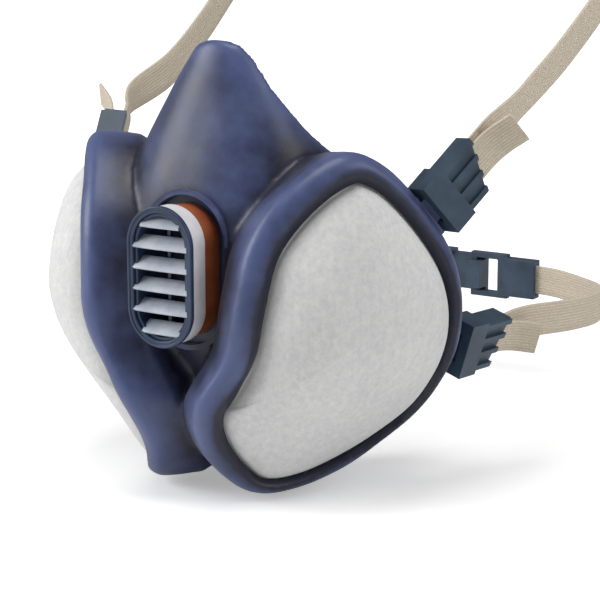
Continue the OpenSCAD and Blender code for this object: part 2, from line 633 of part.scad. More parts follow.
clasp_y = 108;
clasp_z = -32;
clasp_bar_u = 19;
clasp_bar_w = 2.6;
clasp_butt = 27;
loop_plate = [-10.5, 4, 8, 2.4];      // reach along u, half height and thickness
loop_window = [-6.5, 1.6, 5.8];       // reach along u and half height
loop_socket = -11.5;                  // where the loop's socket ends
hook_half = 5;
hook_lip = [-0.7, 5, -3.3, 1.8];      // reach along u, lowest w and thickness of the lip behind the loop
hook_neck = 2;
hook_plate = [13.3, 6.5, 1.5, 2.2];   // end along u, half height, lowest w and thickness
hook_arm = [12.5, 24, 5.2];           // reach along u and height of the arms that hold the strap's bar
clasp_run = clasp_bar_w - inner_turn - strap_thickness / 2;
module at_clasp() placed([0, clasp_y, clasp_z], [-1, 0, 0], [0, 0, 1], [0, 1, 0]) children();

module clasp_loop() color(plastic_teal) at_clasp() {
    difference() {
        translate([loop_plate[0], -loop_plate[2], -loop_plate[3] / 2])
            cube([loop_plate[1] - loop_plate[0], 2 * loop_plate[2], loop_plate[3]]);
        translate([loop_window[0], -loop_window[2], -loop_plate[3]])
            cube([loop_window[1] - loop_window[0], 2 * loop_window[2], 2 * loop_plate[3]]);
    }
    translate([loop_socket, 0, 0]) socket(10);
}
module clasp_hook() color(plastic_teal) at_clasp() {
    translate([hook_lip[0], -hook_half, hook_lip[2]]) cube([hook_neck, 2 * hook_half, hook_plate[2] + 0.2 - hook_lip[2]]);
    translate([hook_lip[0], -hook_half, hook_lip[2]]) cube([hook_lip[1] - hook_lip[0], 2 * hook_half, hook_lip[3]]);
    translate([hook_lip[0], -hook_plate[1], hook_plate[2]])
        cube([hook_plate[0] - hook_lip[0], 2 * hook_plate[1], hook_plate[3]]);
    for (s = [-1, 1]) translate([hook_arm[0], s * (slot_half + cheek / 2) - cheek / 2, 0])
        cube([hook_arm[1] - hook_arm[0], cheek, hook_arm[2]]);
    translate([hook_arm[0], -tab_half, hook_plate[2]]) cube([1.5, 2 * tab_half, hook_plate[3]]);
    translate([clasp_bar_u, 0, clasp_bar_w]) bar_along_v(strap_bar, 2 * slot_half + 0.6);
}
module neck_strap_end() color(strap_beige) at_clasp()
    strap_turn(clasp_bar_u, clasp_bar_w, clasp_butt, clasp_bar_u + 7, 12);

// ---- assembly ----

facepiece();
filter_cover();  // filter_cover_left
mirrored(-1) filter_cover();  // filter_cover_right
particulate_filter();  // particulate_filter_left
mirrored(-1) particulate_filter();  // particulate_filter_right
carbon_bed();  // carbon_bed_left
mirrored(-1) carbon_bed();  // carbon_bed_right
filter_retainer();  // filter_retainer_left
mirrored(-1) filter_retainer();  // filter_retainer_right
inhalation_seat();  // inhalation_seat_left
mirrored(-1) inhalation_seat();  // inhalation_seat_right
inhalation_valve();  // inhalation_valve_left
mirrored(-1) inhalation_valve();  // inhalation_valve_right
valve_seat();
exhalation_flap();
flap_clamp();
code_band();
valve_ring();
valve_grille();
anchor(upper);  // anchor_upper_left
mirrored(-1) anchor(upper);  // anchor_upper_right
anchor(lower);  // anchor_lower_left
mirrored(-1) anchor(lower);  // anchor_lower_right
buckle(upper);  // buckle_upper_left
mirrored(-1) buckle(upper);  // buckle_upper_right
buckle(lower);  // buckle_lower_left
mirrored(-1) buckle(lower);  // buckle_lower_right
strap_end(upper);  // strap_end_upper_left
mirrored(-1) strap_end(upper);  // strap_end_upper_right
strap_end(lower);  // strap_end_lower_left
mirrored(-1) strap_end(lower);  // strap_end_lower_right
crown_strap();  // crown_strap_left
mirrored(-1) crown_strap();  // crown_strap_right
neck_strap_left();
neck_strap_right();
neck_strap_end();
head_cradle();
clasp_loop();
clasp_hook();
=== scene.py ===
import math

import bmesh
import bpy
import numpy as np
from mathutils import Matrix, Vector, noise


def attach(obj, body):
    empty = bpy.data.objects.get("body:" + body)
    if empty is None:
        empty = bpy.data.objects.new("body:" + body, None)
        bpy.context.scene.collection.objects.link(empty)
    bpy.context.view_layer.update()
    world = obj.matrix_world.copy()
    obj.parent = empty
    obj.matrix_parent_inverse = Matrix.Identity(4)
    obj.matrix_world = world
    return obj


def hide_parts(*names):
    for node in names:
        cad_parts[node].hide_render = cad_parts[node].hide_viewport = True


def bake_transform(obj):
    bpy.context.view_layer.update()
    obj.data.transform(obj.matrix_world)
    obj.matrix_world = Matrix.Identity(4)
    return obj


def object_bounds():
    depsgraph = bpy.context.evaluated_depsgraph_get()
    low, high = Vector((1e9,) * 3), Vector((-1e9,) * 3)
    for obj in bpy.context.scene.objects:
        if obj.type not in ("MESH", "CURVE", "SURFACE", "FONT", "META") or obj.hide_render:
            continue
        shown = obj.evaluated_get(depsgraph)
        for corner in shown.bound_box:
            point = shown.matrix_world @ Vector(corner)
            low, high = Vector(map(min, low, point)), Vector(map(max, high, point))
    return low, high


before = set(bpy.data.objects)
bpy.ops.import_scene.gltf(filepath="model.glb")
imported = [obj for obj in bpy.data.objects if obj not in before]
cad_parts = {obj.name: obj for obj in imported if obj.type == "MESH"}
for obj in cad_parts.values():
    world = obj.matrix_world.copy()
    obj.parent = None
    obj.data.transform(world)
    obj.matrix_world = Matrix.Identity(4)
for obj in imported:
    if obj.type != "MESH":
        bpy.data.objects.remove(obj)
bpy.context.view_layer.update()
print("frame loaded")

# Lengths are in millimetres until a mesh is made; +X is the wearer's left and -Y the front.
mm = 0.001

camera = {
    "azimuth": 32.5, "elevation": 12.3, "distance": 600.4,
    "aim": (13.6, -34.5, -14.0), "lens": 122.4,
}


def placeCamera():
    turn, rise = math.radians(camera["azimuth"]), math.radians(camera["elevation"])
    back = Vector((math.sin(turn) * math.cos(rise), -math.cos(turn) * math.cos(rise), math.sin(rise)))
    data = bpy.data.cameras.new("camera")
    data.lens = camera["lens"]
    eye = bpy.data.objects.new("camera", data)
    eye.location = (Vector(camera["aim"]) + back * camera["distance"]) * mm
    eye.rotation_mode = "QUATERNION"
    eye.rotation_quaternion = (-back).to_track_quat("-Z", "Y")
    bpy.context.scene.collection.objects.link(eye)
    bpy.context.scene.camera = eye


placeCamera()
print("camera placed")


# Curves and meshes

def ease(t):
    c = np.clip(t, 0, 1)
    return c * c * (3 - 2 * c)


def bend(a, b, c, d, t):
    return 0.5 * (2 * b + (c - a) * t + (2 * a - 5 * b + 4 * c - d) * t ** 2 + (3 * b - a - 3 * c + d) * t ** 3)


def onOpen(points, x):  # x runs from 0 at the first point to len - 1 at the last
    points = np.asarray(points, float)
    last = len(points) - 1
    i = int(max(0, min(last - 1, math.floor(x))))
    a = points[i - 1] if i > 0 else 2 * points[0] - points[1]
    d = points[i + 2] if i + 2 <= last else 2 * points[last] - points[last - 1]
    return bend(a, points[i], points[i + 1], d, x - i)


def onClosed(points, x):
    points = np.asarray(points, float)
    i = math.floor(x)
    return bend(*[points[(i + k) % len(points)] for k in (-1, 0, 1, 2)], x - i)


def unit(v):
    v = np.asarray(v, float)
    return v / np.linalg.norm(v)


def spin(v, axis, degrees):
    c, s = math.cos(math.radians(degrees)), math.sin(math.radians(degrees))
    return v * c + np.cross(axis, v) * s + axis * np.dot(axis, v) * (1 - c)


def loft(rings, capped=True, looped=False):  # rings of equal length, as points and faces
    n, m = len(rings[0]), len(rings)
    points = [tuple(p) for ring in rings for p in ring]
    rows = m if looped else m - 1
    faces = [[i * n + j, i * n + (j + 1) % n, (i + 1) % m * n + (j + 1) % n, (i + 1) % m * n + j]
             for i in range(rows) for j in range(n)]
    if capped and not looped:
        faces += [list(range(n))[::-1], [(m - 1) * n + j for j in range(n)]]
    return points, faces


def joined(*parts):
    points, faces = [], []
    for p, f in parts:
        faces += [[len(points) + i for i in face] for face in f]
        points += list(p)
    return points, faces


def mirrored(part):
    points, faces = part
    return [(-p[0], p[1], p[2]) for p in points], [list(f)[::-1] for f in faces]


def makeObject(name, part, smoothAngle=None):
    mesh = bpy.data.meshes.new(name)
    mesh.from_pydata((np.asarray(part[0], float) * mm).tolist(), [], part[1])
    work = bmesh.new()
    work.from_mesh(mesh)
    bmesh.ops.recalc_face_normals(work, faces=work.faces)
    for face in work.faces:
        face.smooth = True
    if smoothAngle:
        for edge in work.edges:
            edge.smooth = edge.calc_face_angle(math.pi) < math.radians(smoothAngle)
    work.to_mesh(mesh)
    work.free()
    obj = bpy.data.objects.new(name, mesh)
    bpy.context.scene.collection.objects.link(obj)
    return obj


def applyModifiers(obj):
    graph = bpy.context.evaluated_depsgraph_get()
    mesh = bpy.data.meshes.new_from_object(obj.evaluated_get(graph))
    obj.modifiers.clear()
    obj.data = mesh
    mesh.polygons.foreach_set("use_smooth", [True] * len(mesh.polygons))
    return obj


def remesh(obj, voxel):
    cut = obj.modifiers.new("voxels", "REMESH")
    cut.mode, cut.voxel_size = "VOXEL", voxel * mm
    return applyModifiers(obj)


def carve(obj, part, operation="DIFFERENCE"):
    cutter = makeObject("cutter", part)
    cut = obj.modifiers.new("cut", "BOOLEAN")
    cut.operation, cut.object, cut.solver = operation, cutter, "MANIFOLD"
    applyModifiers(obj)
    bpy.data.objects.remove(cutter, do_unlink=True)
    return obj


def coordsOf(obj):
    co = np.empty(len(obj.data.vertices) * 3)
    obj.data.vertices.foreach_get("co", co)
    return co.reshape(-1, 3) / mm


def setCoords(obj, co):
    obj.data.vertices.foreach_set("co", (co * mm).ravel())
    obj.data.update()


def normalsOf(obj):
    out = np.empty(len(obj.data.vertices) * 3)
    obj.data.vertex_normals.foreach_get("vector", out)
    return out.reshape(-1, 3)


def pullTo(edges, co):  # from each point to the middle of its neighbours
    count = np.bincount(edges.ravel(), minlength=len(co))
    total = np.stack([np.bincount(edges[:, 0], co[edges[:, 1], k], len(co))
                      + np.bincount(edges[:, 1], co[edges[:, 0], k], len(co)) for k in range(3)], axis=1)
    return total / count[:, None] - co


smoothing = {"step": 0.5, "back": 0.53, "hollowLimit": 0.004, "freshNormals": 6}


def edgesOf(obj):
    edges = np.empty(len(obj.data.edges) * 2, int)
    obj.data.edges.foreach_get("vertices", edges)
    return edges.reshape(-1, 2)


def soften(obj, evenRounds, hollowRounds=0):  # hollow rounds fill inner corners and leave the crests
    edges, co = edgesOf(obj), coordsOf(obj)
    for _ in range(evenRounds):
        co += smoothing["step"] * pullTo(edges, co)
        co -= smoothing["back"] * pullTo(edges, co)
    for step in range(hollowRounds):
        if step % smoothing["freshNormals"] == 0:
            setCoords(obj, co)
            out = normalsOf(obj)
        pull = pullTo(edges, co)
        co += smoothing["step"] * pull * ((pull * out).sum(1) > smoothing["hollowLimit"])[:, None]
    setCoords(obj, co)
    return obj


# Finishes

def srgb(*levels):
    shares = [level / 255 for level in levels]
    return tuple(c / 12.92 if c <= 0.04045 else ((c + 0.055) / 1.055) ** 2.4 for c in shares) + (1,)


tones = {  # the deep and the light colour of each finish
    # the rubber's deep colour is reached mostly where painted shade darkens the hollows
    "rubber": (srgb(20, 23, 46), srgb(78, 90, 134)), "felt": (srgb(207, 207, 208), srgb(228, 228, 226)),
    "filter": (srgb(221, 220, 213), srgb(243, 242, 237)), "elastic": (srgb(193, 178, 154), srgb(228, 218, 201)),
    "carbon": (srgb(52, 52, 56), srgb(17, 17, 19)), "silicone": (srgb(214, 214, 206), srgb(231, 231, 224)),
    # the louvres are the frame's plastic given a much lighter colour, a painted highlight from the lamp above
    "frame": (srgb(37, 53, 79), srgb(48, 66, 94)), "louvre": (srgb(172, 180, 194), srgb(202, 207, 217)),
    "ring": (srgb(226, 222, 224), srgb(238, 236, 238)), "band": (srgb(138, 68, 38), srgb(166, 88, 50)),
    # the flap's near-black colour is painted shade: the white silicone flap is darkened so the valve's inside
    # looks dark between the louvres
    "flap": (srgb(20, 25, 38), srgb(30, 37, 54)), "buckle": (srgb(45, 62, 78), srgb(60, 80, 98)),
    "inner": (srgb(205, 206, 208), srgb(222, 222, 224)), "cradle": (srgb(44, 60, 78), srgb(58, 76, 96)),
    "floor": (srgb(250, 250, 250), srgb(253, 253, 253)),
}
weave = {"cord": 0.9, "pick": 0.55}  # width of a cord across the strap and length of a pick along it


def add(tree, kind, sockets=None, **settings):
    node = tree.nodes.new("ShaderNode" + kind)
    for key, value in settings.items():
        setattr(node, key, value)
    for key, value in (sockets or {}).items():
        if isinstance(value, bpy.types.NodeSocket):
            tree.links.new(value, node.inputs[key])
        else:
            node.inputs[key].default_value = value
    return node


def grain(tree, place, scale, detail=3.0, roughness=0.55):
    sockets = {"Vector": place, "Scale": scale, "Detail": detail, "Roughness": roughness}
    return add(tree, "TexNoise", sockets).outputs["Fac"]


def blendColours(tree, share, tone, low=0.35, high=0.65):
    ramp = add(tree, "ValToRGB", {"Fac": share})
    ends = ramp.color_ramp.elements
    ends[0].position, ends[1].position = low, high
    ends[0].color, ends[1].color = tones[tone]
    return ramp.outputs["Color"]


def scaled(tree, share, low, high):
    return add(tree, "MapRange", {"Value": share, "To Min": low, "To Max": high}).outputs["Result"]


def newFinish(name):
    finish = bpy.data.materials.new(name)
    finish.use_nodes = True
    tree = finish.node_tree
    place = add(tree, "TexCoord").outputs["Object"]
    return finish, tree, tree.nodes["Principled BSDF"], place


def dress(tree, shader, colour, roughness, height, bumpSize, bumpStrength=1.0):
    tree.links.new(colour, shader.inputs["Base Color"])
    tree.links.new(roughness, shader.inputs["Roughness"])
    bump = add(tree, "Bump", {"Height": height, "Distance": bumpSize * mm, "Strength": bumpStrength})
    tree.links.new(bump.outputs["Normal"], shader.inputs["Normal"])


def addUp(tree, a, b, weight=1.0):
    scaledB = add(tree, "Math", {0: b, 1: weight}, operation="MULTIPLY").outputs[0]
    return add(tree, "Math", {0: a, 1: scaledB}, operation="ADD").outputs[0]


def mouldedRubber():
    finish, tree, shader, place = newFinish("facepieceRubber")
    clouds, bloom, skin = grain(tree, place, 38, 4), grain(tree, place, 190, 4), grain(tree, place, 2400, 2)
    hollow = add(tree, "Attribute", attribute_name="hollow", attribute_type="GEOMETRY").outputs["Fac"]
    # painted shade and painted highlight: the hollow mark darkens the rubber in inner corners and lightens it on
    # crests, over its random clouds and bloom
    bloomAndPaintedShade = addUp(tree, addUp(tree, clouds, bloom, 0.3), hollow, -1.0)
    body = blendColours(tree, bloomAndPaintedShade, "rubber", 0.02, 0.56)
    dress(tree, shader, body, scaled(tree, bloom, 0.32, 0.48), addUp(tree, skin, bloom, 1.6), 0.05, 0.7)
    shader.inputs["Specular IOR Level"].default_value = 0.5
    shader.inputs["Sheen Weight"].default_value = 0.1
    shader.inputs["Sheen Roughness"].default_value = 0.4
    return finish


def nonwovenFelt():
    finish, tree, shader, place = newFinish("coverNonwoven")
    tufts, fibres = grain(tree, place, 520, 4, 0.65), grain(tree, place, 2600, 3, 0.7)
    flecks = add(tree, "TexVoronoi", {"Vector": place, "Scale": 900.0}, feature="F1").outputs["Distance"]
    brushed = add(tree, "VectorMath", {0: place, 1: (1.0, 1.0, 0.12)}, operation="MULTIPLY").outputs["Vector"]
    mottle = addUp(tree, addUp(tree, tufts, fibres, 0.5), flecks, 0.2)
    shade = addUp(tree, addUp(tree, mottle, grain(tree, brushed, 700, 3), 0.5), grain(tree, place, 30, 2), 0.5)
    shade = add(tree, "Math", {0: shade, 1: 0.5}, operation="MULTIPLY").outputs[0]
    body = blendColours(tree, shade, "felt", 0.54, 0.84)
    dress(tree, shader, body, scaled(tree, fibres, 0.86, 0.98), mottle, 0.16, 0.6)
    shader.inputs["Specular IOR Level"].default_value = 0.2
    shader.inputs["Sheen Weight"].default_value = 0.25
    return finish


def mouldedPlastic(name, tone, roughness):
    finish, tree, shader, place = newFinish(name)
    flow, skin = grain(tree, place, 120, 3), grain(tree, place, 3200, 2)
    polish = scaled(tree, flow, roughness - 0.06, roughness + 0.08)
    dress(tree, shader, blendColours(tree, flow, tone), polish, skin, 0.02, 0.5)
    shader.inputs["Specular IOR Level"].default_value = 0.5
    return finish


def siliconeRubber():
    finish = mouldedPlastic("valveSilicone", "silicone", 0.32)
    finish.node_tree.nodes["Principled BSDF"].inputs["Subsurface Weight"].default_value = 0.1
    return finish


def carbonGranules():
    finish, tree, shader, place = newFinish("carbonGranules")
    cells = add(tree, "TexVoronoi", {"Vector": place, "Scale": 1100.0}, feature="F1").outputs["Distance"]
    shade = blendColours(tree, cells, "carbon", 0.1, 0.7)
    dress(tree, shader, shade, scaled(tree, cells, 0.45, 0.8), cells, -0.5)
    return finish


def filterFelt():
    finish, tree, shader, place = newFinish("filterMedia")
    fibres, tufts = grain(tree, place, 3000, 4, 0.75), grain(tree, place, 400, 3)
    body = blendColours(tree, addUp(tree, fibres, tufts, 0.4), "filter", 0.45, 0.95)
    dress(tree, shader, body, scaled(tree, fibres, 0.85, 0.98), fibres, 0.15, 0.7)
    return finish


def ripples(tree, along, length):
    turned = add(tree, "Math", {0: along, 1: 2 * math.pi / (length * mm)}, operation="MULTIPLY").outputs[0]
    return add(tree, "Math", {0: turned}, operation="SINE").outputs[0]


def wovenElastic():  # the strap's own place: across it, along it
    finish, tree, shader, place = newFinish("strapElastic")
    own = add(tree, "Attribute", attribute_name="strapPlace", attribute_type="GEOMETRY").outputs["Vector"]
    split = add(tree, "SeparateXYZ", {"Vector": own})
    cords = ripples(tree, split.outputs["X"], weave["cord"])
    picks = ripples(tree, split.outputs["Y"], weave["pick"])
    cross = add(tree, "Math", {0: cords, 1: picks}, operation="MULTIPLY").outputs[0]
    fuzz = grain(tree, place, 2500, 3, 0.7)
    height = addUp(tree, addUp(tree, cords, cross, 0.25), fuzz, 1.0)
    shade = addUp(tree, fuzz, height, 0.09)
    body = blendColours(tree, shade, "elastic", 0.35, 0.8)
    dress(tree, shader, body, scaled(tree, fuzz, 0.78, 0.95), height, 0.07, 0.8)
    shader.inputs["Specular IOR Level"].default_value = 0.25
    shader.inputs["Sheen Weight"].default_value = 0.2
    return finish


finishes = {
    "rubber": mouldedRubber(),
    "felt": nonwovenFelt(),
    "filter": filterFelt(),
    "carbon": carbonGranules(),
    "silicone": siliconeRubber(),
    "elastic": wovenElastic(),
    "frame": mouldedPlastic("grillePlastic", "frame", 0.34),
    # painted highlight: the louvres use a lighter copy of the grille plastic
    "louvre": mouldedPlastic("louvrePaintedHighlight", "louvre", 0.24),
    "ring": mouldedPlastic("ringPlastic", "ring", 0.36),
    "band": mouldedPlastic("bandPlastic", "band", 0.42),
    # painted shade: the flap's dark finish stands for the shade inside the valve
    "flap": mouldedPlastic("flapPaintedShade", "flap", 0.45),
    "buckle": mouldedPlastic("bucklePlastic", "buckle", 0.4),
    "inner": mouldedPlastic("retainerPlastic", "inner", 0.45),
    "cradle": mouldedPlastic("cradlePlastic", "cradle", 0.44),
}
print("finishes made")


def finishPiece(obj, finishName, slotName, body, *nodes):
    obj.data.materials.clear()
    obj.data.materials.append(finishes[finishName])
    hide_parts(*nodes)
    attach(obj, body)
    return obj


# Facepiece: a nose cup, two pods with rounded rims, a turned-in seal, and pockets for the valve and the filters

cup = {
    "sealWidth": 88, "height": 125.5, "depth": 75, "wall": 2.4, "sealThickness": 1.8, "sealLip": 12,
    "slices": 64, "arc": 72, "voxel": 0.95,
    "evenRounds": (4, 3), "hollowRounds": 8, "unevenness": (0.35, 14), "sharpAngle": 38, "bossWall": 3,
    "pocketWall": 3, "pocketStart": 1, "pocketEnd": 2, "beyond": 6,  # beyond: how far a cut runs past the wall
    # the hollow marks drive the rubber's painted shade in the hollows and its painted highlight on the crests
    "marks": ((3, 2.6), (60, 12.0)), "spread": 0.9,  # rounds and weight of the fine and of the broad hollows
    # level slices: height, half width, rear, front, as shares of the size, and how square the front is
    "rows": [(0.504, 0.06, -0.735, -0.765, 1.0), (0.490, 0.17, -0.730, -0.780, 1.0),
             (0.455, 0.26, -0.715, -0.800, 1.0), (0.385, 0.40, -0.690, -0.835, 0.95),
             (0.290, 0.59, -0.610, -0.895, 0.85), (0.180, 0.80, -0.410, -0.955, 0.78),
             (0.040, 0.98, -0.140, -0.990, 0.75),
             (-0.095, 1.00, -0.005, -0.980, 0.75), (-0.225, 0.91, -0.030, -0.930, 0.80),
             (-0.335, 0.76, -0.130, -0.885, 0.90), (-0.420, 0.56, -0.290, -0.810, 1.0),
             (-0.468, 0.29, -0.450, -0.700, 1.0), (-0.482, 0.07, -0.530, -0.610, 1.0)],
}


def cupRow(share):
    row = onOpen(cup["rows"], share * (len(cup["rows"]) - 1))
    return row * (cup["height"], cup["sealWidth"] / 2, cup["depth"], cup["depth"], 1)


def arcOf(width, rear, front, power):
    angles = [math.radians(-90 + 180 * k / cup["arc"]) for k in range(cup["arc"] + 1)]
    return [(width * math.copysign(abs(math.sin(a)) ** power, math.sin(a)),
             rear + (front - rear) * max(0, math.cos(a)) ** power) for a in angles]


def cupRing(share):
    z, width, rear, front, power = cupRow(share)
    return [(x, y, z) for x, y in arcOf(max(0.6, width), rear, min(front, rear - 0.8), power)]


def hollowRing(share):  # with the opening for the face
    z, half, rear, front, power = cupRow(share)
    width, rear = max(0.6, half - cup["wall"]), rear - cup["sealThickness"]
    front, level = min(front + cup["wall"], rear - 0.4), z * (1 - 2 * cup["wall"] / cup["height"])
    opening = max(0.3, min(width - 0.2, half - cup["sealLip"]))
    back = cup["depth"] / 4 if half > cup["sealLip"] + 1 else rear + 0.3
    corners = [(opening, rear), (opening, back), (-opening, back), (-opening, rear)]
    return [(x, y, level) for x, y in arcOf(width, rear, front, power) + corners]


pod = {
    "angle": 56.7, "reach": 70.5, "lean": 18, "bendHeight": -8, "bendSpan": 50,
    "floor": 16, "lip": 7, "lipDrop": 2.5, "middle": (-25, -14), "port": (-24, 6), "portRadius": 13, "boss": 4.4,
    "around": 132, "stackInset": 3.4, "fit": 0.15, "coverDrop": 0.6, "mouth": 0.96, "lipSlant": (-0.25, 0.3),
    # the rim along the pod's plate to the rear, and up
    "outline": [(-25, 34.5), (-13, 31), (0, 18.5), (9.8, 3), (13.4, -14), (12.6, -31.5), (5, -46.5),
                (-10.5, -58), (-30, -65), (-46, -64.5), (-59, -52), (-64.5, -37), (-59.5, -21.5), (-57.3, -5),
                (-52, 13), (-39, 27.5)],
    # the rim's section: inset, share of the lip, depth under the crest
    "rim": [(5, 0, 22), (1.2, 0, 16), (0.25, 0, 9), (0, 0, 5), (0.15, 0, 3.4), (0.4, 0.06, 2.1), (0.5, 0.15, 1.1),
            (0.3, 0.3, 0.4), (0, 0.45, 0.05), (0, 0.58, 0), (0, 0.7, 0.3), (0, 0.82, 1.0), (0, 0.92, 1.9),
            (0, 1, 2.9)],
}
podCos, podSin = math.cos(math.radians(pod["angle"])), math.sin(math.radians(pod["angle"]))
podNormal, podAlong = np.array((podSin, -podCos, 0)), np.array((podCos, podSin, 0))


def podPoint(p, z, n):
    return (p * podCos + n * podSin, p * podSin - n * podCos, z)


def plateAt(z):
    return pod["reach"] - pod["lean"] * ease((pod["bendHeight"] - z) / pod["bendSpan"])


def outlineAt(t):
    return onClosed(pod["outline"], t * len(pod["outline"]))


def outwardAt(t):
    step = outlineAt(t + 0.004) - outlineAt(t - 0.004)
    return unit((-step[1], step[0]))


podTurns = [i / pod["around"] for i in range(pod["around"])]
podEdge = [(outlineAt(t), outwardAt(t)) for t in podTurns]
lipWidths = [pod["lip"] * (1 + np.dot(pod["lipSlant"], out)) for _, out in podEdge]


def podRing(inset, lipShare, depth):
    ring = []
    for (edge, out), lip in zip(podEdge, lipWidths):
        q = edge - out * (inset + lipShare * lip)
        ring.append(podPoint(q[0], q[1], plateAt(q[1]) - depth))
    return ring


def domeRing(inset, lipShare, depth, rho, rise=0.0, power=0.65):
    ring, middle = [], np.array(pod["middle"])
    for (edge, out), lip in zip(podEdge, lipWidths):
        q = middle + (edge - out * (inset + lipShare * lip) - middle) * rho
        ring.append(podPoint(q[0], q[1], plateAt(q[1]) - depth + rise * max(0, 1 - rho * rho) ** power))
    return ring


def podCylinder(radius, start, end, sides=56):  # along the port's axis, into the cavity
    p, z = pod["port"]
    floor = plateAt(z) - pod["floor"]
    return loft([[podPoint(p + radius * math.cos(a), z + radius * math.sin(a), floor - h)
                  for a in np.linspace(0, 2 * math.pi, sides, endpoint=False)] for h in (start, end)])


def slotRing(width, height, y, count=96):  # an upright slot shape
    radius, straight = width / 2, (height - width) / 2
    ring = []
    for k in range(count):
        a = 2 * math.pi * k / count
        ring.append((radius * math.cos(a), y, radius * math.sin(a) + math.copysign(straight, math.sin(a) + 1e-9)))
    return ring


def slotBlock(width, height, front, rear):
    return loft([slotRing(width, height, front), slotRing(width, height, rear)])


valve = {
    "width": 22, "height": 40, "panelFront": -73.875, "pocketFloor": -66.875, "coverFront": -85.375,
    "ringFront": -84.175, "bandFront": -78.175, "bandRear": -70.175, "frame": 2.0, "louvres": 6, "chord": 5.2,
    "slope": 35, "blade": 1.1, "bow": 0.25, "pocketWidth": 26, "pocketHeight": 43, "seatWall": 2,
    "ribHalf": 0.5, "ribFront": -80.6, "ribRear": -79.2,
    # a blade's section: shares of its chord and of its thickness
    "louvreSection": ((0.1, 0), (0.0, 0.25), (0.0, 0.75), (0.15, 1), (0.5, 1.05), (0.9, 1), (1, 0.6), (1, 0.2),
                      (0.9, 0)),
}


def markHollowsForPaintedShade(obj, rounds):  # 1 in the inner corners, 0 on the crests and 0.5 where it is flat
    edges, co, total = edgesOf(obj), coordsOf(obj), 0
    for count, weight in rounds:
        turned = np.stack([(pullTo(edges, co) * normalsOf(obj)).sum(1)] * 3, axis=1)
        for _ in range(count):
            turned += cup["spread"] * pullTo(edges, turned)
        total = total + weight * turned[:, 0]
    # this mark becomes the rubber's painted shade in the hollows and painted highlight on the crests
    mark = obj.data.attributes.new("hollow", "FLOAT", "POINT")
    mark.data.foreach_set("value", np.clip(0.5 + total, 0, 1).astype(np.float32))


def moulded(co, out, strength, size):  # the soft unevenness of moulded rubber
    rise = np.array([noise.noise(Vector(p) / size) for p in co])
    return co + out * (strength * rise)[:, None]


def makeFacepiece():
    rim = loft([podRing(*r) for r in pod["rim"]])
    shell = makeObject("facepieceShell", loft([cupRing(i / cup["slices"]) for i in range(cup["slices"] + 1)]))
    for side in (rim, mirrored(rim)):
        carve(shell, side, "UNION")
    remesh(shell, cup["voxel"])
    soften(shell, cup["evenRounds"][0], cup["hollowRounds"])
    soften(shell, cup["evenRounds"][1])
    setCoords(shell, moulded(coordsOf(shell), normalsOf(shell), *cup["unevenness"]))
    print("facepiece outside made,", len(shell.data.polygons), "faces")
    carve(shell, loft([hollowRing(i / cup["slices"]) for i in range(cup["slices"] + 1)]))
    boss = podCylinder(pod["portRadius"] + cup["bossWall"], -0.5, pod["boss"])
    for side in (boss, mirrored(boss)):
        carve(shell, side, "UNION")
    around, start, end = cup["pocketWall"], cup["pocketStart"], cup["pocketEnd"]
    carve(shell, slotBlock(valve["pocketWidth"] + around, valve["pocketHeight"] + around,
                           valve["panelFront"] + start, valve["pocketFloor"] + end), "UNION")
    inner, under = pod["stackInset"] - pod["fit"], pod["lipDrop"] + pod["coverDrop"] - pod["fit"]
    recess = loft([domeRing(inner, 0, pod["floor"], rho) for rho in (0.15, 0.4, 0.7, 1)]
                  + [podRing(inner, 0, under), podRing(0, pod["mouth"], under), podRing(-0.4, pod["mouth"], -3)])
    port = podCylinder(pod["portRadius"], -4, pod["boss"] + 8)
    for part in (recess, port):
        carve(shell, part)
        carve(shell, mirrored(part))
    front, bore = valve["panelFront"] - cup["beyond"], 2 * valve["seatWall"]
    carve(shell, slotBlock(valve["pocketWidth"], valve["pocketHeight"], front, valve["pocketFloor"]))
    carve(shell, slotBlock(valve["width"] - bore, valve["height"] - bore, front, valve["pocketFloor"] + 8))
    work = bmesh.new()
    work.from_mesh(shell.data)
    for edge in work.edges:
        edge.smooth = edge.calc_face_angle(math.pi) < math.radians(cup["sharpAngle"])
    work.to_mesh(shell.data)
    work.free()
    markHollowsForPaintedShade(shell, cup["marks"])
    return finishPiece(shell, "rubber", "facepiece_elastomer", "root", "facepiece")


facepiece = makeFacepiece()
print("facepiece made,", len(facepiece.data.polygons), "faces")


# Filter covers: felt domes that come out from under the rims

felt = {
    "edgeDepth": 3.1, "rise": 15.2, "power": 0.52, "thickness": 0.8, "rings": 26, "underLip": 1.04,
    "unevenness": (0.3, 17),
}


def makeCover(side, name):
    turns = np.linspace(0, 1, felt["rings"])
    rhos = [math.cos(math.pi / 2 * t) for t in turns[:-1]] + [0.02]

    def skin(drop):
        depth = felt["edgeDepth"] + drop
        return [domeRing(pod["stackInset"], 0, depth, 1)] + [
            domeRing(0, felt["underLip"], depth, rho, felt["rise"], felt["power"]) for rho in rhos]
    part = loft(skin(felt["thickness"])[::-1] + skin(0))
    cover = makeObject("filterCover" + name, part if side > 0 else mirrored(part))
    setCoords(cover, moulded(coordsOf(cover), normalsOf(cover), *felt["unevenness"]))
    return finishPiece(cover, "felt", "cover_nonwoven", "root", "filter_cover_" + name.lower())


makeCover(1, "Left")
makeCover(-1, "Right")
print("filter covers made")


# Exhalation valve: a louvred frame, a pale ring and a coloured band, one behind another

def slotSweep(width, height, section, count=96):  # section: inset from the outline, and y, all the way round
    return loft([slotRing(width - 2 * inset, height - 2 * inset, y, count) for inset, y in section], looped=True)


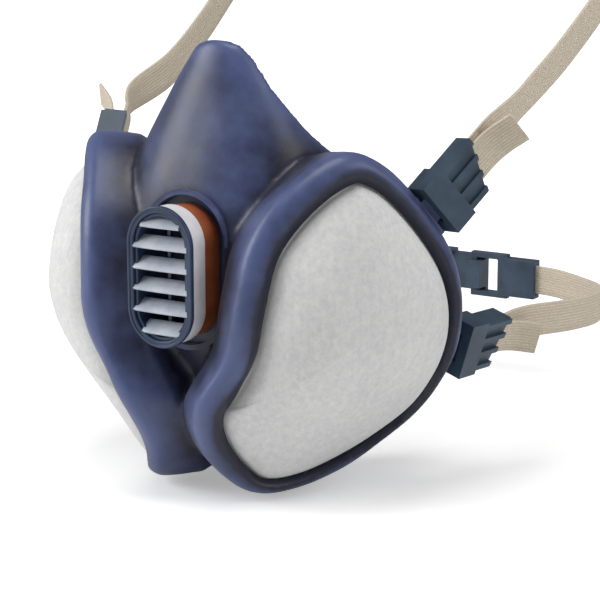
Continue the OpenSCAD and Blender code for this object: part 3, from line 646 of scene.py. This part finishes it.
def roundedSection(outer, inner, front, rear, radius):
    steps, section = 4, []
    for cx, cy, start in ((outer + radius, front + radius, 180), (inner - radius, front + radius, 270),
                          (inner - radius, rear - radius, 0), (outer + radius, rear - radius, 90)):
        for k in range(steps + 1):
            a = math.radians(start + 90 * k / steps)
            section.append((cx + radius * math.cos(a), cy + radius * math.sin(a)))
    return section


def louvre(z, halfWidth):
    chord, blade, slope = valve["chord"], valve["blade"], math.radians(valve["slope"])
    along = np.array((math.cos(slope), math.sin(slope)))  # y and z, rising to the rear
    across = np.array((-along[1], along[0]))
    front = np.array((valve["coverFront"] + 0.45, z))
    rings = []
    for x in np.linspace(-halfWidth, halfWidth, 17):
        bow = valve["bow"] * (1 - (x / halfWidth) ** 2)
        section = []
        for u, v in valve["louvreSection"]:
            q = front + along * u * chord + across * v * blade - np.array((bow, 0)) * (1 - u)
            section.append((x, q[0], q[1]))
        rings.append(section)
    return loft(rings)


def makeGrille():
    v = valve
    frameRing = slotSweep(v["width"], v["height"],
                          roundedSection(0, v["frame"], v["coverFront"], v["ringFront"], 0.35))
    # a raised bead round the front edge, and the sleeve that holds the ring
    bead = slotSweep(v["width"], v["height"],
                     roundedSection(0.05, 0.95, v["coverFront"] - 0.3, v["ringFront"] - 0.4, 0.3))
    sleeve = slotSweep(v["width"] - 2 * v["seatWall"], v["height"] - 2 * v["seatWall"],
                       roundedSection(0, 1.0, v["ringFront"] - 0.4, v["bandRear"], 0.2))
    openWidth, openHeight = v["width"] - 2 * v["frame"], v["height"] - 2 * v["frame"]
    pitch, blades = openHeight / v["louvres"], []
    for i in range(v["louvres"]):
        z = -openHeight / 2 + pitch * (i + 0.25)
        beyond = max(0, abs(z + 1.4) + 0.6 - (openHeight - openWidth) / 2)
        blades.append(louvre(z, math.sqrt(max(4, (openWidth / 2) ** 2 - beyond ** 2)) + 0.3))
    half, front, rear = v["ribHalf"], v["ribFront"], v["ribRear"]
    rib = loft([[(x, y, z) for x, y in ((-half, front), (half, front), (half, rear), (-half, rear))]
                for z in (-openHeight / 2, openHeight / 2)])
    grille = makeObject("valveGrille", joined(frameRing, bead, sleeve, rib), smoothAngle=50)
    blades = makeObject("valveLouvres", joined(*blades), smoothAngle=50)
    finishPiece(grille, "frame", "valve_plastic", "root", "valve_grille")
    # the louvres' light finish is a painted highlight
    finishPiece(blades, "louvre", "valve_plastic", "root")


def makeBands():
    v = valve
    for name, slotName, node, finishName, inset, front, rear in (
            ("valveRing", "ring_plastic", "valve_ring", "ring", 0.4, v["ringFront"] + 0.05, v["bandFront"]),
            ("codeBand", "band_plastic", "code_band", "band", 1.0, v["bandFront"] + 0.05, v["bandRear"])):
        section = roundedSection(0, 1.5, front, rear, 0.3)
        part = slotSweep(v["width"] - 2 * inset, v["height"] - 2 * inset, section)
        finishPiece(makeObject(name, part, smoothAngle=50), finishName, slotName, "root", node)


makeGrille()
makeBands()
print("exhalation valve made")


# Buckles: each has its own frame, u along the pull, v along the hinge bar and w out of the pod

buckle = {
    "hingeStand": 3.4, "barPlace": (10, 1.2), "barRadius": 1.4, "tabEnd": 19, "butt": 24,
    "tailRadius": 14, "tailTurn": 38, "tailLength": 14,
    # seat along the plate and up, depth under the crest, direction, swing and tilt
    "upper": ((1.5, 16), 5, 41, 8, 0), "lower": ((13.5, -24.8), 10.5, -8, 25, 15),
}


def bucklePlace(which):  # origin on the hinge bar, then the u, v and w directions
    (p, z), depth, pull, swing, tilt = buckle[which]
    level = np.array((math.cos(math.radians(pull)) * podCos, math.cos(math.radians(pull)) * podSin,
                      math.sin(math.radians(pull))))
    origin = np.array(podPoint(p, z, plateAt(z) - depth)) + buckle["hingeStand"] * level
    c, s = math.cos(math.radians(swing)), math.sin(math.radians(swing))
    u = spin(level * c - podNormal * s, podAlong, tilt)
    w = spin(podNormal * c + level * s, podAlong, tilt)
    return origin, u, np.cross(w, u), w


# Straps: woven elastic round each buckle's bar, with a free tail, and on to the head cradle or the clasp

strap = {
    "width": 10, "thickness": 1, "turnSteps": 14, "tailSteps": 8, "runSteps": 90, "seam": 0.3,
    "still": 72, "moving": 37,  # along the pull: where the run lies still and where the end moves with its buckle
}
head = {"middle": (0, 60, 75), "radii": (74, 95, 88), "gap": 1.5, "cradleHalf": 50, "cradlePlace": 45}
clasp = {"y": 108, "z": -32, "barPlace": (19, 2.6), "butt": 27}
crownPlaces = [(65, 10, 46), (67, 32, 58), (69, 58, 76), (66.5, 85, 98)]
neckPlaces = [(62, 22, -25), (66, 42, -26.5), (64.5, 64, -28.5), (56, 84, -30.5), (43, 98, -31.8)]
neckMiddle = (0, 46, -30)


def headPoint(x, degrees):
    (_, my, mz), (rx, ry, rz) = head["middle"], head["radii"]
    k, a = math.sqrt(1 - (x / rx) ** 2), math.radians(degrees)
    return np.array((x, my + ry * k * math.sin(a), mz + rz * k * math.cos(a)))


def headOut(p):
    return unit((p - np.array(head["middle"])) / np.array(head["radii"]) ** 2)


turnRadius = buckle["barRadius"] + 0.1 + strap["thickness"] / 2


def turnLine(barPlace, end, straight, tailTurn, tailLength):  # in u and w: under the bar, round it, and the tail
    (bu, bw), r, bendRadius = barPlace, turnRadius, buckle["tailRadius"]
    line = [(end, bw - r), ((end + bu) / 2, bw - r)]
    for k in range(strap["turnSteps"] + 1):
        a = math.radians(-90 - 180 * k / strap["turnSteps"])
        line.append((bu + r * math.cos(a), bw + r * math.sin(a)))
    centre = (straight, bw + r + bendRadius)
    line.append(((bu + straight) / 2, bw + r))
    for k in range(strap["tailSteps"] + 1):
        a = math.radians(-90 + tailTurn * k / strap["tailSteps"])
        line.append((centre[0] + bendRadius * math.cos(a), centre[1] + bendRadius * math.sin(a)))
    free = max(1, tailLength - bendRadius * math.radians(tailTurn))
    a = math.radians(tailTurn)
    line.append((line[-1][0] + free * math.cos(a), line[-1][1] + free * math.sin(a)))
    return line


def strapPart(centres, outs):  # a flat band with soft edges, and where each point is across and along it
    half, thick = strap["width"] / 2, strap["thickness"] / 2
    section = [(-half, -0.2), (-half, 0.2), (-half + 0.25, thick), (-half / 2, thick), (0, thick),
               (half / 2, thick), (half - 0.25, thick), (half, 0.2), (half, -0.2), (half - 0.25, -thick),
               (half / 2, -thick), (0, -thick), (-half / 2, -thick), (-half + 0.25, -thick)]
    centres, rings, own, length = np.asarray(centres, float), [], [], 0.0
    for i, p in enumerate(centres):
        forward = unit(centres[min(len(centres) - 1, i + 1)] - centres[max(0, i - 1)])
        side = unit(np.cross(outs[i], forward))
        out = unit(np.cross(forward, side))
        if i:
            length += np.linalg.norm(p - centres[i - 1])
        rings.append([p + side * a + out * b for a, b in section])
        own += [(a * mm, length * mm, 0) for a, _ in section]
    points, faces = loft(rings)
    return (points, faces), own, length


def endLine(which):
    origin, u, v, w = bucklePlace(which)
    line = turnLine(*(buckle[key] for key in ("barPlace", "butt", "tabEnd", "tailTurn", "tailLength")))
    centres = [origin + u * a + w * b for a, b in line][::-1]
    outs = []
    for i in range(len(centres)):
        forward = unit(centres[min(len(centres) - 1, i + 1)] - centres[max(0, i - 1)])
        outs.append(np.cross(forward, v))
    return centres, outs, w


def runLine(places, hub, startOut, steps):
    centres = [onOpen(places, (len(places) - 1) * k / steps) for k in range(steps + 1)]
    outs = []
    for k, p in enumerate(centres):
        forward = unit(centres[min(steps, k + 1)] - centres[max(0, k - 1)])
        flat = (0, 0, p[2] - hub[2]) if forward[2] ** 2 < 0.04 else (0, 0, 0)
        away = unit(np.asarray(p) - hub - flat)
        share = ease((len(places) - 1) * k / steps / 2)
        outs.append(unit(startOut * (1 - share) + away * share))
    return centres, outs


def makeStrap(name, side, centres, outs, nodes):
    part, own, length = strapPart(centres, outs)
    band = makeObject(name, part if side > 0 else mirrored(part), smoothAngle=60)
    place = band.data.attributes.new("strapPlace", "FLOAT_VECTOR", "POINT")
    place.data.foreach_set("vector", np.array(own, np.float32).ravel())
    band.data.materials.append(finishes["elastic"])
    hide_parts(*nodes)
    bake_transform(band)
    print(name, "made,", round(length), "mm long")


def buckleRun(which, beyond):
    origin, u, _, w = bucklePlace(which)
    return origin + u * (buckle["butt"] + strap["seam"] + beyond) + w * (buckle["barPlace"][1] - turnRadius)


def makeCrownStraps():
    edge = headPoint(head["cradleHalf"] + 2, head["cradlePlace"])
    cradleEnd = edge + head["gap"] * headOut(edge)
    for side, name in ((1, "Left"), (-1, "Right")):
        tail, tailOuts, w = endLine("upper")
        run, runOuts = runLine([buckleRun("upper", 0), buckleRun("upper", 7), *crownPlaces, cradleEnd],
                               np.array(head["middle"]), w, strap["runSteps"])
        makeStrap("crownStrap" + name, side, tail + run, tailOuts + runOuts,
                  ["crown_strap_" + name.lower(), "strap_end_upper_" + name.lower()])


makeCrownStraps()


def makeNeckStraps():
    claspRun = clasp["barPlace"][1] - turnRadius
    rightEnd = [(clasp["butt"] + 5.3, clasp["y"] + claspRun - 0.3, clasp["z"]),
                (clasp["butt"] + 0.3, clasp["y"] + claspRun, clasp["z"])]
    leftEnd = [(31, 105.8, clasp["z"])] + [(x, clasp["y"], clasp["z"]) for x in (22, 17, 12)]
    for side, name, last in ((1, "Left", leftEnd), (-1, "Right", rightEnd)):
        tail, tailOuts, w = endLine("lower")
        run, runOuts = runLine([buckleRun("lower", 0), buckleRun("lower", 6), *neckPlaces, *last],
                               np.array(neckMiddle), w, strap["runSteps"])
        makeStrap("neckStrap" + name, side, tail + run, tailOuts + runOuts,
                  ["neck_strap_" + name.lower(), "strap_end_lower_" + name.lower()])
    # the short end at the clasp
    line = turnLine(clasp["barPlace"], clasp["butt"], clasp["barPlace"][0] + 7, 12, buckle["tailLength"])[::-1]
    centres = [np.array((-a, clasp["y"] + b, clasp["z"])) for a, b in line]
    outs = [np.cross(unit(np.subtract(centres[min(len(line) - 1, i + 1)], centres[max(0, i - 1)])), (0, 0, 1))
            for i in range(len(line))]
    makeStrap("neckStrapEnd", 1, centres, outs, ["neck_strap_end"])


makeNeckStraps()


# Head cradle: two bowed bands that meet in a socket at each side

cradle = {
    "width": 11, "thickness": 2.2, "edge": 0.7, "spread": 24, "meet": 0.15, "rings": 72, "socketLength": 9,
    "socketWall": 1.5, "socketSides": 32, "squareness": 0.35,
}


def cradleBand(spread):
    half, thick, r = cradle["width"] / 2, cradle["thickness"] / 2, cradle["edge"]
    section = [(-half, 0), (-half + 0.2, r), (-half + r, thick), (half - r, thick), (half - 0.2, r), (half, 0),
               (half - 0.2, -r), (half - r, -thick), (-half + r, -thick), (-half + 0.2, -r)]
    places = []
    for k in range(cradle["rings"] + 1):
        t = -1 + 2 * k / cradle["rings"]
        rise = spread * (math.cos(math.pi / 2 * t) + cradle["meet"])
        p = headPoint(head["cradleHalf"] * t, head["cradlePlace"] + rise)
        places.append(p + headOut(p) * (head["gap"] + thick))
    rings = []
    for i, p in enumerate(places):
        forward = unit(places[min(len(places) - 1, i + 1)] - places[max(0, i - 1)])
        side = unit(np.cross(headOut(p), forward))
        out = unit(np.cross(forward, side))
        rings.append([p + side * a + out * b for a, b in section])
    return loft(rings)


def sleevePart(origin, u, v, w, length, beyond):  # a closed socket with rounded corners
    wall, rings = cradle["socketWall"], []
    halfV, halfW = strap["width"] / 2 + 0.3 + wall, strap["thickness"] / 2 + 0.3 + wall
    sides, power = cradle["socketSides"], cradle["squareness"]
    for at, grow in ((-length, -0.5), (-length + 0.4, -0.1), (-length + 1.0, 0), (beyond - 1.2, 0),
                     (beyond - 0.3, -0.4), (beyond, -0.9)):
        ring = []
        for k in range(sides):
            a = 2 * math.pi * k / sides
            x = math.copysign(abs(math.cos(a)) ** power, math.cos(a)) * (halfV + grow)
            y = math.copysign(abs(math.sin(a)) ** power, math.sin(a)) * (halfW + grow)
            ring.append(origin + u * at + v * x + w * y)
        rings.append(ring)
    return loft(rings)


def makeCradle():
    edge = headPoint(head["cradleHalf"] + 2, head["cradlePlace"])
    end = edge + head["gap"] * headOut(edge)
    u = unit(end - np.array(crownPlaces[-1]))
    v = unit(np.cross(end - np.array(head["middle"]), u))
    socket = sleevePart(end, u, v, np.cross(u, v), cradle["socketLength"], 2.5)
    bands = [cradleBand(cradle["spread"]), cradleBand(-cradle["spread"])]
    obj = makeObject("headCradle", joined(*bands, socket, mirrored(socket)), smoothAngle=50)
    finishPiece(obj, "cradle", "cradle_plastic", "root", "head_cradle")


makeCradle()
print("head cradle made")


# Moulded pieces whose CAD shape stays: edges are eased and each gets its finish

easing = {"weld": 0.001, "flatAngle": 1, "segments": 2, "edgeAngle": 35}
keptPairs = {  # on the left and on the right: finish and width of the eased edge
    "buckle_upper": ("buckle", 0.35), "buckle_lower": ("buckle", 0.35),
    "anchor_upper": ("rubber", 0.2), "anchor_lower": ("rubber", 0.2),
    "inhalation_seat": ("inner", 0.15), "inhalation_valve": ("silicone", 0.1),
    "filter_retainer": ("inner", 0), "particulate_filter": ("filter", 0), "carbon_bed": ("carbon", 0),
}
keptSingles = {
    "clasp_loop": ("cradle", 0.3), "clasp_hook": ("cradle", 0.3),
    # exhalation_flap takes the dark flap finish, painted shade seen between the louvres
    "valve_seat": ("frame", 0.12), "flap_clamp": ("frame", 0.12), "exhalation_flap": ("flap", 0.1),
}


def easeNode(name, finishName, edge):
    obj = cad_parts[name]
    obj.data.materials.clear()
    obj.data.materials.append(finishes[finishName])
    obj.data.polygons.foreach_set("material_index", [0] * len(obj.data.polygons))
    if edge:
        weld = obj.modifiers.new("weld", "WELD")
        weld.merge_threshold = easing["weld"] * mm
        flat = obj.modifiers.new("flat", "DECIMATE")
        flat.decimate_type, flat.angle_limit = "DISSOLVE", math.radians(easing["flatAngle"])
        bevel = obj.modifiers.new("edges", "BEVEL")
        bevel.width, bevel.segments, bevel.limit_method = edge * mm, easing["segments"], "ANGLE"
        bevel.angle_limit, bevel.harden_normals = math.radians(easing["edgeAngle"]), False
        smooth = obj.modifiers.new("shade", "WEIGHTED_NORMAL")
        smooth.keep_sharp = True


for name, (finishName, edge) in keptPairs.items():
    easeNode(name + "_left", finishName, edge)
    easeNode(name + "_right", finishName, edge)
for name, (finishName, edge) in keptSingles.items():
    easeNode(name, finishName, edge)
print("kept pieces dressed")


# Stage: a pale floor that turns white away from the object, and soft lamps at the left, at the right and above

stage = {
    "gap": 2.0, "floorSize": 4.0, "sky": 0.19, "target": (0, -0.03, 0),
    "whiteFrom": 0.16, "whiteTo": 0.55, "nearGlow": 0.35,  # metres from the middle, and the glow there
    # each lamp: place, size and power
    "lamps": {"left": ((-0.8, -0.62, 0.45), 0.6, 7.5), "right": ((0.85, 0.1, 0.5), 0.6, 3.2),
              "top": ((0.05, -0.2, 1.0), 0.5, 4.5)},
}


def softLamp(name, place, size, power):
    data = bpy.data.lights.new(name, "AREA")
    data.size, data.energy = size, power
    lamp = bpy.data.objects.new(name, data)
    lamp.location = Vector(place)
    lamp.rotation_mode = "QUATERNION"
    lamp.rotation_quaternion = (Vector(stage["target"]) - Vector(place)).to_track_quat("-Z", "Y")
    bpy.context.scene.collection.objects.link(lamp)


def makeStage():
    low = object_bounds()[0]
    half = stage["floorSize"] / 2 / mm
    level = low.z / mm - stage["gap"]
    corners = [(x, y, level) for x, y in ((-half, -half), (half, -half), (half, half), (-half, half))]
    floor = makeObject("floor", (corners, [[0, 1, 2, 3]]))
    finish, tree, shader, place = newFinish("floorPale")
    cloud = grain(tree, place, 3, 2)
    dress(tree, shader, blendColours(tree, cloud, "floor"), scaled(tree, cloud, 0.9, 0.95), cloud, 0.1)
    shader.inputs["Emission Color"].default_value = (1, 1, 1, 1)
    rays = add(tree, "LightPath")
    away = add(tree, "VectorMath", {0: place}, operation="LENGTH").outputs["Value"]
    white = add(tree, "MapRange", {"Value": away, "From Min": stage["whiteFrom"], "From Max": stage["whiteTo"],
                                   "To Min": stage["nearGlow"], "To Max": 1.0})
    seen = rays.outputs["Is Camera Ray"]
    shown = add(tree, "Math", {0: seen, 1: white.outputs["Result"]}, operation="MULTIPLY").outputs[0]
    tree.links.new(shown, shader.inputs["Emission Strength"])
    floor.data.materials.append(finish)
    world = bpy.data.worlds.new("studio")
    world.use_nodes = True
    bpy.context.scene.world = world
    tree = world.node_tree
    sky = tree.nodes["Background"]
    rays = add(tree, "LightPath")
    tree.links.new(scaled(tree, rays.outputs["Is Camera Ray"], stage["sky"], 1.0), sky.inputs["Strength"])
    sky.inputs["Color"].default_value = (1, 1, 1, 1)
    for name, lamp in stage["lamps"].items():
        softLamp(name, *lamp)


makeStage()
bpy.context.scene.view_settings.view_transform = "Standard"
print("stage made")
